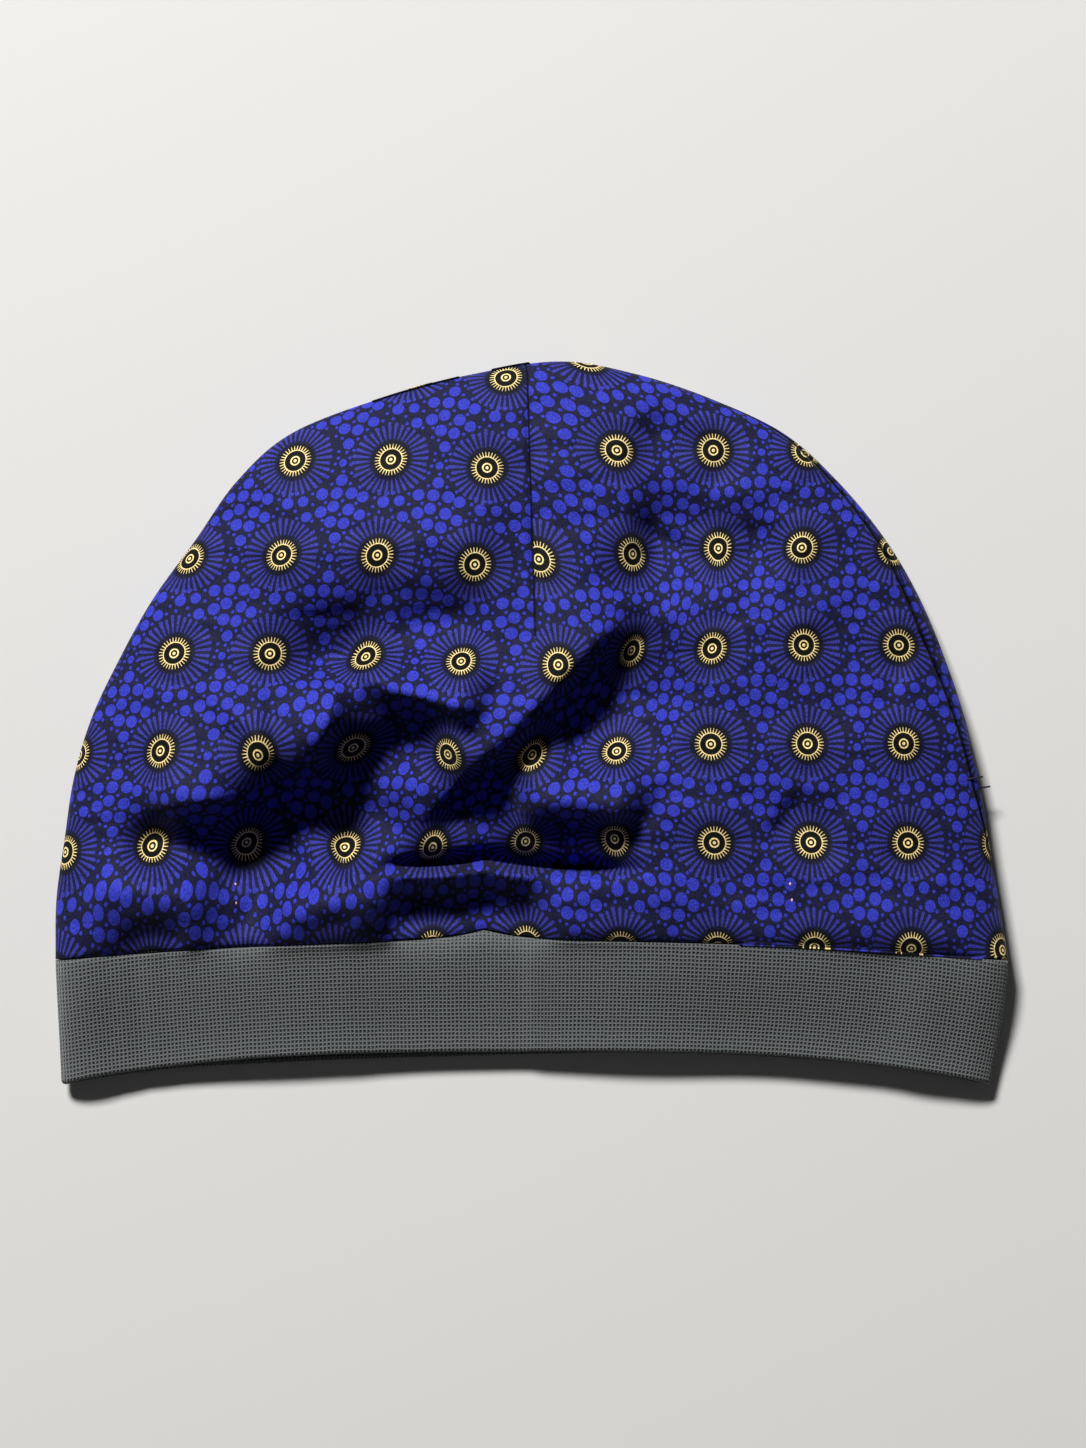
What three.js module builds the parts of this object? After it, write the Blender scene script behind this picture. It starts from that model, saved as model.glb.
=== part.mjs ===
// A soft skullcap laid flat: a printed cloth crown of two panels, sewn to a knitted band.
// Millimetres, +Z up. The mouth of the cap faces -Y and the top of the crown +Y.
import * as THREE from 'three';

// Sizes of the cap as it lies
const halfWidth = 133.4;       // half of the laid width at the band seam
const crownRise = 167.4;       // from the band seam up to the top of the crown
const bandDepth = 25.6;        // band seam level down to the hem, in the middle
const bandFlare = 9.2;         // how much lower the hem runs at the two sides
const backHemDrop = 2.4;       // how far the back hem shows below the front one
const crownWall = 1.2;         // printed stretch cloth
const bandWall = 2.2;          // knit folded double
const seamGap = 0.3;           // clearance between pieces that are sewn together

// Heights of the cap as it lies
const edgeHeight = 8;          // height of the turned side edge above the table
const underRoll = 6;           // how far the back curls in under the edge
const seamPuff = 11;           // rise of the front above the edge, at the band
const crownPuff = 25;          // the same, over the middle of the crown
const seamShoulder = 4;        // roundness of the shoulder at the band
const crownShoulder = 9.5;     // roundness of the shoulder higher up
const hemSink = 0.62;          // height of the hem as a share of the seam's height
const foldRise = 14;           // the height that the fold table's rises are shares of
const foldReach = 14;          // the half width that its reaches are shares of
const seamArch = 5.6;          // how far the band seam arches up in the middle
const seamPeak = 3.2;          // the small peak of the seam below the front dart
const peakReach = 9;           // half width of that peak
const bandRipple = 0.8;        // soft waves of the front of the band
const rippleLength = 88;       // length of one such wave

// Outline of the crown: height as a share of crownRise, half widths as shares of halfWidth
const outlineRows = [
  { up: 0.00, left: 1.000, right: 1.000 },
  { up: 0.10, left: 0.998, right: 0.979 },
  { up: 0.20, left: 0.981, right: 0.958 },
  { up: 0.30, left: 0.962, right: 0.939 },
  { up: 0.40, left: 0.925, right: 0.909 },
  { up: 0.50, left: 0.866, right: 0.867 },
  { up: 0.60, left: 0.796, right: 0.815 },
  { up: 0.70, left: 0.706, right: 0.743 },
  { up: 0.80, left: 0.618, right: 0.640 },
  { up: 0.88, left: 0.503, right: 0.527 },
  { up: 0.94, left: 0.310, right: 0.368 },
  { up: 0.98, left: 0.117, right: 0.213 },
];
const outlineTop = { up: 1.00, across: 0.059 };

// The side seam round the outline: along it from the left, and how far it has rolled
// towards the front (positive) or underneath (negative), in degrees
const sideSeamRows = [
  { along: 0.00, roll: -20 },
  { along: 0.20, roll: -35 },
  { along: 0.40, roll: -25 },
  { along: 0.55, roll: 0 },
  { along: 0.66, roll: 12 },
  { along: 0.80, roll: 22 },
  { along: 0.90, roll: 14 },
  { along: 1.00, roll: -10 },
];

// Folds of the front: each runs from one place over a second to a third, given as shares of
// halfWidth and crownRise. rise is a share of foldRise, and the reaches to the left and to
// the right of its run are shares of foldReach.
const folds = [
  { name: 'centre ridge', from: [0.06, 0.60], via: [-0.15, 0.37], to: [-0.36, 0.15],
    rise: 0.62, left: 1.00, right: 0.70 },
  { name: 'centre valley', from: [0.30, 0.64], via: [0.07, 0.385], to: [-0.24, 0.16],
    rise: -0.93, left: 0.70, right: 1.40 },
  { name: 'left shelf', from: [-0.45, 0.46], via: [-0.29, 0.44], to: [-0.11, 0.41],
    rise: 0.36, left: 1.00, right: 0.65 },
  { name: 'left hollow', from: [-0.13, 0.35], via: [-0.42, 0.29], to: [-0.62, 0.01],
    rise: -0.64, left: 0.85, right: 0.85 },
  { name: 'left ridge', from: [-0.39, 0.46], via: [-0.57, 0.33], to: [-0.84, 0.26],
    rise: 0.36, left: 0.70, right: 1.15 },
  { name: 'left slot', from: [-0.84, 0.24], via: [-0.70, 0.205], to: [-0.56, 0.12],
    rise: -0.32, left: 0.80, right: 0.65 },
  { name: 'left lobe', from: [-0.97, 0.13], via: [-0.78, 0.12], to: [-0.59, 0.09],
    rise: 0.30, left: 1.00, right: 0.75 },
  { name: 'middle lobe', from: [-0.43, 0.23], via: [-0.43, 0.13], to: [-0.42, 0.01],
    rise: 0.32, left: 0.85, right: 0.85 },
  { name: 'waist crease', from: [-0.34, 0.185], via: [-0.05, 0.19], to: [0.29, 0.175],
    rise: -0.55, left: 0.90, right: 0.60 },
  { name: 'waist lip', from: [-0.34, 0.12], via: [-0.05, 0.125], to: [0.27, 0.12],
    rise: 0.42, left: 0.60, right: 0.90 },
  { name: 'waist brow', from: [-0.07, 0.27], via: [0.12, 0.29], to: [0.31, 0.25],
    rise: 0.32, left: 1.00, right: 0.70 },
  { name: 'upper hollow', from: [-0.53, 0.51], via: [-0.28, 0.56], to: [-0.03, 0.53],
    rise: -0.28, left: 0.85, right: 0.85 },
  { name: 'upper swell', from: [-0.59, 0.62], via: [-0.28, 0.67], to: [-0.03, 0.62],
    rise: 0.21, left: 1.28, right: 1.00 },
];
const foldFade = 0.25;         // share of a fold's run over which it starts and ends
const foldSteps = 20;          // straight steps in which a fold's run is followed
const foldEdge = 18;           // the folds die out over this distance from the outline

// Grid of the panels
const columns = 32;
const sideRows = 20;
const rollAngles = [0, 14, 30, 50];   // degrees up the front's shoulder
const underAngles = [0, 25, 55, 90];  // degrees down the back's roll
const sideShare = 0.30;        // share of the outline that counts as its left or right side
const hemSteps = 4;
const bandRows = 4;

const degrees = Math.PI / 180;

function smooth(from, to, value) {
  return THREE.MathUtils.smoothstep(value, from, to);
}

function between(a, b, share) {
  return a + (b - a) * share;
}

function tableValue(rows, key, column, value) {
  const next = rows.findIndex((row) => row[key] > value);
  if (next < 1) {
    return next === 0 ? rows[0][column] : rows[rows.length - 1][column];
  }
  const low = rows[next - 1];
  const high = rows[next];
  const share = smooth(low[key], high[key], value);
  return between(low[column], high[column], share);
}

// Outline of the crown from the left end of the band seam over the top to the right end
function makeOutline() {
  const left = outlineRows.map((row) => new THREE.Vector3(-row.left * halfWidth, row.up * crownRise, 0));
  const right = outlineRows.map((row) => new THREE.Vector3(row.right * halfWidth, row.up * crownRise, 0));
  const top = new THREE.Vector3(outlineTop.across * halfWidth, outlineTop.up * crownRise, 0);
  const curve = new THREE.CatmullRomCurve3([...left, top, ...right.reverse()], false, 'centripetal');
  curve.arcLengthDivisions = 600;
  return curve;
}

const outline = makeOutline();
const outlinePath = outline.getSpacedPoints(180);

// Distance from a place in the plan to the outline, which runs on straight below the seam
function edgeDistance(x, y) {
  if (y <= 0) {
    return halfWidth - Math.abs(x);
  }
  let nearest = Infinity;
  for (let i = 1; i < outlinePath.length; i += 1) {
    const a = outlinePath[i - 1];
    const dx = outlinePath[i].x - a.x;
    const dy = outlinePath[i].y - a.y;
    const along = ((x - a.x) * dx + (y - a.y) * dy) / (dx * dx + dy * dy);
    const t = THREE.MathUtils.clamp(along, 0, 1);
    nearest = Math.min(nearest, Math.hypot(x - a.x - t * dx, y - a.y - t * dy));
  }
  return nearest;
}

// The folds' runs as short polylines in the plan
const foldRuns = folds.map((fold) => {
  const place = ([across, up]) => new THREE.Vector2(across * halfWidth, up * crownRise);
  const start = place(fold.from);
  const end = place(fold.to);
  const middle = place(fold.via).multiplyScalar(2).sub(start.clone().add(end).multiplyScalar(0.5));
  const run = new THREE.QuadraticBezierCurve(start, middle, end).getPoints(foldSteps);
  return { ...fold, run };
});

function foldHeight(fold, x, y) {
  let nearest = Infinity;
  let share = 0;
  let side = 0;
  for (let i = 1; i < fold.run.length; i += 1) {
    const a = fold.run[i - 1];
    const dx = fold.run[i].x - a.x;
    const dy = fold.run[i].y - a.y;
    const along = ((x - a.x) * dx + (y - a.y) * dy) / (dx * dx + dy * dy);
    const t = THREE.MathUtils.clamp(along, 0, 1);
    const offX = x - a.x - t * dx;
    const offY = y - a.y - t * dy;
    const distance = Math.hypot(offX, offY);
    if (distance < nearest) {
      nearest = distance;
      share = (i - 1 + t) / foldSteps;
      side = (dx * offY - dy * offX) / (Math.hypot(dx, dy) * Math.max(distance, 1e-6));
    }
  }
  const reach = between(fold.right, fold.left, 0.5 + 0.5 * side) * foldReach;
  const strength = smooth(0, foldFade, Math.min(share, 1 - share));
  return fold.rise * foldRise * strength * Math.exp(-((nearest / reach) ** 2));
}

// The rounded shoulder at a height of the crown: how high it rises and how far in it reaches
function shoulder(y) {
  const share = smooth(0, 0.3, y / crownRise);
  const rise = between(seamPuff, crownPuff, share);
  const roundness = between(seamShoulder, crownShoulder, share);
  return { rise, reach: rise * rise / roundness };
}

function frontHeight(x, y, distance) {
  const { rise, reach } = shoulder(y);
  const inward = 1 - Math.min(distance / reach, 1);
  const puffed = edgeHeight + rise * Math.sqrt(1 - inward * inward);
  const relief = foldRuns.reduce((sum, fold) => sum + foldHeight(fold, x, y), 0);
  return puffed + relief * smooth(0, foldEdge, distance);
}

// The band seam arches up in the middle, with a small peak below the dart
function seamLift(x) {
  const across = x / halfWidth;
  const arch = seamArch * (1 - Math.abs(across) ** 2.2);
  const peakX = -0.1 * halfWidth;
  const peak = seamPeak * Math.exp(-Math.abs(x - peakX) / peakReach);
  return arch + peak;
}

// A place on the turned edge, at a share along the outline and an angle up or under it
function edgePoint(along, angle) {
  const base = outline.getPointAt(along);
  const tangent = outline.getTangentAt(along);
  const { rise, reach } = shoulder(base.y);
  const inset = (angle > 0 ? reach : underRoll) * (1 - Math.cos(angle));
  const x = base.x + tangent.y * inset;
  const y = along === 0 || along === 1 ? 0 : base.y - tangent.x * inset;
  const height = angle > 0 ? frontHeight(x, y, inset) : edgeHeight * (1 + Math.sin(angle));
  const wide = (angle > 0 ? rise : edgeHeight) * Math.cos(angle);
  const tall = (angle > 0 ? reach : underRoll) * Math.sin(angle);
  const normal = new THREE.Vector3(-tangent.y * wide, tangent.x * wide, tall).normalize();
  return { point: new THREE.Vector3(x, y, height), normal };
}

function sideSeamAngle(along) {
  return tableValue(sideSeamRows, 'along', 'roll', along) * degrees;
}

// Half of the sewing clearance, as an angle on the turned edge
function halfGapAngle(along, angle) {
  const { rise, reach } = shoulder(outline.getPointAt(along).y);
  const flat = (angle > 0 ? reach : underRoll) * Math.sin(angle);
  const steep = (angle > 0 ? rise : edgeHeight) * Math.cos(angle);
  return seamGap / 2 / Math.hypot(flat, steep);
}

// Shares along the outline at which the panels' edges are divided
function edgeStations() {
  const stations = [];
  for (let i = 0; i < sideRows; i += 1) {
    stations.push(sideShare * i / sideRows);
  }
  for (let i = 0; i <= columns; i += 1) {
    stations.push(between(sideShare, 1 - sideShare, i / columns));
  }
  for (let i = 1; i <= sideRows; i += 1) {
    stations.push(between(1 - sideShare, 1, i / sideRows));
  }
  return stations;
}

const stations = edgeStations();

// Rings of the turned edge, the first one on the side seam, each with the same stations
function edgeRings(angles, side) {
  return angles.map((angle, ring) => stations.map((along) => {
    const seam = sideSeamAngle(along) + side * halfGapAngle(along, sideSeamAngle(along));
    const last = angles[angles.length - 1] * degrees * side;
    const share = angle * degrees * side / last;
    return edgePoint(along, ring === 0 ? seam : between(seam, last, share));
  }));
}

// Plan places inside the innermost ring, blended from its three sides and the band seam
function innerGrid(ring) {
  const left = (v) => ring[Math.round(v * sideRows)].point;
  const right = (v) => ring[ring.length - 1 - Math.round(v * sideRows)].point;
  const top = (u) => ring[sideRows + Math.round(u * columns)].point;
  const bottom = (u) => left(0).clone().lerp(right(0), u);
  const rows = [];
  for (let j = 0; j <= sideRows; j += 1) {
    const v = j / sideRows;
    rows.push([]);
    for (let i = 0; i <= columns; i += 1) {
      const u = i / columns;
      const sides = left(v).clone().lerp(right(v), u);
      const ends = bottom(u).clone().lerp(top(u), v);
      const low = left(0).clone().lerp(right(0), u);
      const high = left(1).clone().lerp(right(1), u);
      rows[j].push(sides.add(ends).sub(low.lerp(high, v)));
    }
  }
  return rows;
}

// A wall between an outer and an inner skin that share their faces and their free edge
class Wall {
  constructor() {
    this.outer = [];
    this.faces = [];
    this.setNormals = new Map();
  }

  add(point, normal) {
    this.outer.push(point);
    if (normal) {
      this.setNormals.set(this.outer.length - 1, normal);
    }
    return this.outer.length - 1;
  }

  quad(a, b, c, d, turned) {
    if (turned) {
      this.faces.push([a, b, d], [b, c, d]);
    } else {
      this.faces.push([a, b, c], [a, c, d]);
    }
  }

  normals() {
    const sums = this.outer.map(() => new THREE.Vector3());
    for (const [a, b, c] of this.faces) {
      const first = this.outer[b].clone().sub(this.outer[a]);
      const second = this.outer[c].clone().sub(this.outer[a]);
      const face = first.cross(second);
      [a, b, c].forEach((corner) => sums[corner].add(face));
    }
    return sums.map((sum, i) => (this.setNormals.get(i) ?? sum).clone().normalize());
  }

  geometry(thickness, level) {
    const normals = this.normals();
    level.forEach((i) => normals[i].setY(0).normalize());
    const inner = this.outer.map((point, i) => point.clone().addScaledVector(normals[i], -thickness));
    const count = this.outer.length;
    const index = [];
    const edges = new Map();
    for (const [a, b, c] of this.faces) {
      index.push(a, b, c, count + a, count + c, count + b);
      for (const [from, to] of [[a, b], [b, c], [c, a]]) {
        if (!edges.delete(`${to} ${from}`)) {
          edges.set(`${from} ${to}`, [from, to]);
        }
      }
    }
    for (const [from, to] of edges.values()) {
      index.push(to, from, count + from, to, count + from, count + to);
    }
    return solid([...this.outer, ...inner], index);
  }
}

function solid(points, index) {
  const shape = new THREE.BufferGeometry();
  const positions = points.flatMap((point) => [point.x, point.y, point.z]);
  shape.setAttribute('position', new THREE.Float32BufferAttribute(positions, 3));
  shape.setIndex(index);
  shape.computeVertexNormals();
  return shape;
}

// The lower edge of the crown follows the arched band seam, and the arch fades upwards
function arched(point) {
  const fade = (1 - Math.min(Math.max(point.y, 0) / crownRise, 1)) ** 2;
  return new THREE.Vector3(point.x, point.y + seamLift(point.x) * fade, point.z);
}

// One crown panel: rings round its turned edge and a grid inside them. Its loop is the row
// of points on the band seam, from left to right.
function makePanel(rings, heightAt, facesUp) {
  const wall = new Wall();
  const ringIds = rings.map((ring, number) => ring.map(({ point, normal }) => (
    wall.add(arched(point), number === 0 ? normal : undefined)
  )));
  const inside = innerGrid(rings[rings.length - 1]);
  const innermost = ringIds[ringIds.length - 1];
  const gridIds = inside.map((row, j) => row.map((point, i) => {
    if (i === 0) {
      return innermost[j];
    }
    if (i === columns) {
      return innermost[innermost.length - 1 - j];
    }
    if (j === sideRows) {
      return innermost[sideRows + i];
    }
    const height = heightAt(point.x, point.y);
    return wall.add(arched(new THREE.Vector3(point.x, point.y, height)));
  }));
  const quad = (a, b, c, d, turned) => {
    if (facesUp) {
      wall.quad(a, b, c, d, turned);
    } else {
      wall.quad(d, c, b, a, !turned);
    }
  };
  for (let r = 1; r < ringIds.length; r += 1) {
    for (let k = 1; k < stations.length; k += 1) {
      quad(ringIds[r - 1][k - 1], ringIds[r][k - 1], ringIds[r][k], ringIds[r - 1][k], false);
    }
  }
  for (let j = 1; j <= sideRows; j += 1) {
    for (let i = 1; i <= columns; i += 1) {
      const turned = i <= columns / 2;
      quad(gridIds[j - 1][i - 1], gridIds[j - 1][i], gridIds[j][i], gridIds[j][i - 1], turned);
    }
  }
  const leftIds = ringIds.slice(0, -1).map((ring) => ring[0]);
  const rightIds = ringIds.slice(0, -1).map((ring) => ring[ring.length - 1]);
  const loopIds = [...leftIds, ...gridIds[0], ...rightIds.reverse()];
  const shape = wall.geometry(crownWall, loopIds);
  return { shape, loop: loopIds.map((id) => wall.outer[id]) };
}

// The band hangs from the crown's lower edge as a flattened tube, folded over at its hem
function makeBand(frontLoop, backLoop) {
  const loop = [...frontLoop, ...[...backLoop].reverse()];
  const top = Math.max(...loop.map((point) => point.z));
  const sections = [];
  for (let row = 0; row <= bandRows; row += 1) {
    const share = row / bandRows;
    sections.push(loop.map((point) => {
      const across = point.x / halfWidth;
      const front = point.z / top;
      const narrowing = across > 0 ? 0.036 * share ** 1.5 : 0.010 * share;
      const leftOfMiddle = smooth(-1, -0.5, across) * (1 - smooth(-0.4, 0.3, across));
      const hem = -bandDepth - bandFlare * Math.abs(across) ** 3;
      const drop = (1 - front) * backHemDrop * between(0.35, 1, leftOfMiddle);
      const wave = bandRipple * Math.sin(2 * Math.PI * point.x / rippleLength);
      const y = between(point.y - seamGap, hem - drop + bandWall / 2, share);
      const level = between(1, hemSink, smooth(0, 1, share));
      const z = point.z * level + wave * front ** 4 * share;
      return new THREE.Vector3(point.x * (1 - narrowing), y, z);
    }));
  }
  const outward = (section, k) => {
    const before = section[(k + loop.length - 1) % loop.length];
    const after = section[(k + 1) % loop.length];
    return new THREE.Vector3(before.z - after.z, 0, after.x - before.x).normalize();
  };
  const rows = sections.map((section) => section.map((point) => point.clone()));
  const hemRow = sections[bandRows];
  for (let step = 1; step <= hemSteps; step += 1) {
    const turn = Math.PI * step / hemSteps;
    rows.push(hemRow.map((point, k) => {
      const normal = outward(hemRow, k);
      const middle = point.clone().addScaledVector(normal, -bandWall / 2);
      middle.addScaledVector(normal, Math.cos(turn) * bandWall / 2);
      middle.y -= Math.sin(turn) * bandWall / 2;
      return middle;
    }));
  }
  for (let row = bandRows - 1; row >= 0; row -= 1) {
    rows.push(sections[row].map((point, k) => (
      point.clone().addScaledVector(outward(sections[row], k), -bandWall)
    )));
  }
  const index = [];
  const count = loop.length;
  rows.forEach((section, row) => {
    const below = (row + 1) % rows.length;
    section.forEach((point, k) => {
      const next = (k + 1) % count;
      const corners = [row * count + k, below * count + k, below * count + next, row * count + next];
      index.push(corners[0], corners[1], corners[2], corners[0], corners[2], corners[3]);
    });
  });
  return solid(rows.flat(), index);
}

function addPiece(group, name, shape, material) {
  const piece = new THREE.Mesh(shape, material);
  piece.name = name;
  group.add(piece);
}

const printedCloth = new THREE.MeshStandardMaterial({ color: 0x23265c, roughness: 0.6, metalness: 0 });
const backCloth = new THREE.MeshStandardMaterial({ color: 0x1c1f45, roughness: 0.6, metalness: 0 });
const greyKnit = new THREE.MeshStandardMaterial({ color: 0x5a5f61, roughness: 0.9, metalness: 0 });

const front = makePanel(edgeRings(rollAngles, 1), (x, y) => frontHeight(x, y, edgeDistance(x, y)), true);
const back = makePanel(edgeRings(underAngles, -1), () => 0, false);

const skullcap = new THREE.Group();
addPiece(skullcap, 'crown_front_panel', front.shape, printedCloth);
addPiece(skullcap, 'crown_back_panel', back.shape, backCloth);
addPiece(skullcap, 'band', makeBand(front.loop, back.loop), greyKnit);

// The middle of the whole cap's outline is at the origin
const bandReach = bandDepth + bandFlare + backHemDrop * 0.35;
skullcap.position.y = (bandReach - crownRise) / 2;

export default skullcap;
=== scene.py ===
import math

import bpy
import mathutils
import numpy as np
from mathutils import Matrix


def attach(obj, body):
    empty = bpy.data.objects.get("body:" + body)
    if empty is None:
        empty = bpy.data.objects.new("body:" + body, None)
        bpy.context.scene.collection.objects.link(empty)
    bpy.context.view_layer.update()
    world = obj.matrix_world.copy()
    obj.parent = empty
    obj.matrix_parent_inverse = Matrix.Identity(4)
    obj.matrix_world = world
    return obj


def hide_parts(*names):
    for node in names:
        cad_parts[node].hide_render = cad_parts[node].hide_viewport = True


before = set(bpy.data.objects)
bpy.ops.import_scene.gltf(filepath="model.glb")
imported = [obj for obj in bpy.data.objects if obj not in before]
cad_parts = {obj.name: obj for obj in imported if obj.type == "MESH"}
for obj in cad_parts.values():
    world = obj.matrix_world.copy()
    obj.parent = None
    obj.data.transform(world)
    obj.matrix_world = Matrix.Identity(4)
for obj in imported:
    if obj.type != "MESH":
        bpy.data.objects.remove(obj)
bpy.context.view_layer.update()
bpy.ops.object.select_all(action="DESELECT")

# The floor, the light and the camera.
# The cap lies on a plain pale table. A wide soft light stands beyond its crown, a little to
# the left, and the camera looks straight down.
MILLIMETRE = 0.001
PHOTO_HEIGHT = 1448
PHOTO_SCALE = 0.28 * MILLIMETRE       # real size of one photo pixel at the cap's edge
CAMERA_RISE = 1300 * MILLIMETRE
CAMERA_ASIDE = 3.1 * MILLIMETRE       # the photo's middle lies right of the cap's
EDGE_LEVEL = 8 * MILLIMETRE           # the height at which the photo's scale was read
FLOOR_SIZE = 6
FLOOR_COLOUR = (0.66, 0.65, 0.63, 1)
KEY_PLACE = (-0.90, 1.95, 2.15)
KEY_SIZE = (0.72, 0.48)
KEY_ENERGY = 140
FILL_PLACE = (0.2, -0.3, 1.8)
FILL_SIZE = 1.6
FILL_ENERGY = 0.45
ROOM_COLOUR = (0.95, 0.97, 1.0, 1)
ROOM_STRENGTH = 0.035

bpy.ops.object.camera_add(location=(CAMERA_ASIDE, 0, CAMERA_RISE), rotation=(0, 0, 0))
camera = bpy.context.object
seen_height = PHOTO_HEIGHT * PHOTO_SCALE
camera.data.lens = camera.data.sensor_width * (CAMERA_RISE - EDGE_LEVEL) / seen_height
camera.data.clip_start = 0.05
bpy.context.scene.camera = camera
bpy.context.scene.view_settings.view_transform = "Standard"

bpy.ops.mesh.primitive_plane_add(size=FLOOR_SIZE)
floor = bpy.context.object
floor.name = "floor"


def new_material(name):
    """A new material, with its node tree and its Principled shader."""
    material = bpy.data.materials.new(name)
    material.use_nodes = True
    return material, material.node_tree, material.node_tree.nodes["Principled BSDF"]


def add_node(tree, kind, inputs=(), **settings):
    """A node with its settings, and with numbers, colours or other nodes' sockets put in."""
    made = tree.nodes.new("ShaderNode" + kind)
    for name, value in settings.items():
        setattr(made, name, value)
    for place, value in dict(inputs).items():
        if isinstance(value, bpy.types.NodeSocket):
            tree.links.new(value, made.inputs[place])
        else:
            made.inputs[place].default_value = value
    return made


floor_material, _, floor_shader = new_material("pale table")
floor_shader.inputs["Base Color"].default_value = FLOOR_COLOUR
floor_shader.inputs["Roughness"].default_value = 0.7
floor.data.materials.append(floor_material)

bpy.ops.object.light_add(type="AREA", location=KEY_PLACE)
key_light = bpy.context.object
key_light.data.shape = "RECTANGLE"
key_light.data.size, key_light.data.size_y = KEY_SIZE
key_light.data.energy = KEY_ENERGY

bpy.ops.object.light_add(type="AREA", location=FILL_PLACE)
fill_light = bpy.context.object
fill_light.data.size = FILL_SIZE
fill_light.data.energy = FILL_ENERGY
for light in (key_light, fill_light):
    light.rotation_euler = (-light.location).to_track_quat("-Z", "Y").to_euler()

world = bpy.data.worlds.new("soft room")
world.use_nodes = True
world.node_tree.nodes["Background"].inputs["Color"].default_value = ROOM_COLOUR
world.node_tree.nodes["Background"].inputs["Strength"].default_value = ROOM_STRENGTH
bpy.context.scene.world = world

# The crown's front panel.
# A panel of printed stretch sateen with a dart at its middle, sewn to the back panel round
# the outline. It lies puffed up over the back panel, with soft folds running to the band.
HALF_WIDTH = 133.4 * MILLIMETRE
CROWN_RISE = 167.4 * MILLIMETRE
BAND_REACH = 35.64 * MILLIMETRE       # from the band seam down to the hem at the sides
SEAM_Y = (BAND_REACH - CROWN_RISE) / 2
EDGE_HEIGHT = 8 * MILLIMETRE
UNDER_ROLL = 6 * MILLIMETRE           # how far in the turned edge reaches under the back
SEAM_PUFF = 11 * MILLIMETRE
CROWN_PUFF = 14.5 * MILLIMETRE
RIGHT_PUFF = 12 * MILLIMETRE          # the right side lies flatter
SEAM_SHOULDER = 4 * MILLIMETRE
CROWN_SHOULDER = 3.5 * MILLIMETRE
FOLD_SIZE = 15 * MILLIMETRE
FOLD_EDGE = 18 * MILLIMETRE
LOWEST_CLOTH = 1.4 * MILLIMETRE       # the deepest folds come to rest on the back panel
SEAM_ARCH = 5.6 * MILLIMETRE
SEAM_PEAK = 3.2 * MILLIMETRE
PEAK_REACH = 9 * MILLIMETRE
CLOTH = 0.6 * MILLIMETRE
SEAM_GAP = 0.3 * MILLIMETRE

# The outline's height, left and right half widths, as shares of the rise and the half width
OUTLINE = (
    (0.00, 1.000, 1.000),
    (0.10, 0.998, 0.979),
    (0.20, 0.981, 0.958),
    (0.30, 0.962, 0.939),
    (0.40, 0.925, 0.909),
    (0.50, 0.866, 0.867),
    (0.60, 0.796, 0.815),
    (0.70, 0.706, 0.743),
    (0.80, 0.618, 0.640),
    (0.88, 0.503, 0.527),
    (0.94, 0.310, 0.368),
    (0.98, 0.117, 0.213),
)
OUTLINE_TOP = (0.059, 1.0)

# The side seam's roll towards the front, in degrees, at shares along the outline
SEAM_ROLL = ((0.0, -20), (0.2, -35), (0.45, -25), (0.58, 0), (0.68, 15), (0.8, 27), (0.9, 20), (1.0, -10))

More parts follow.
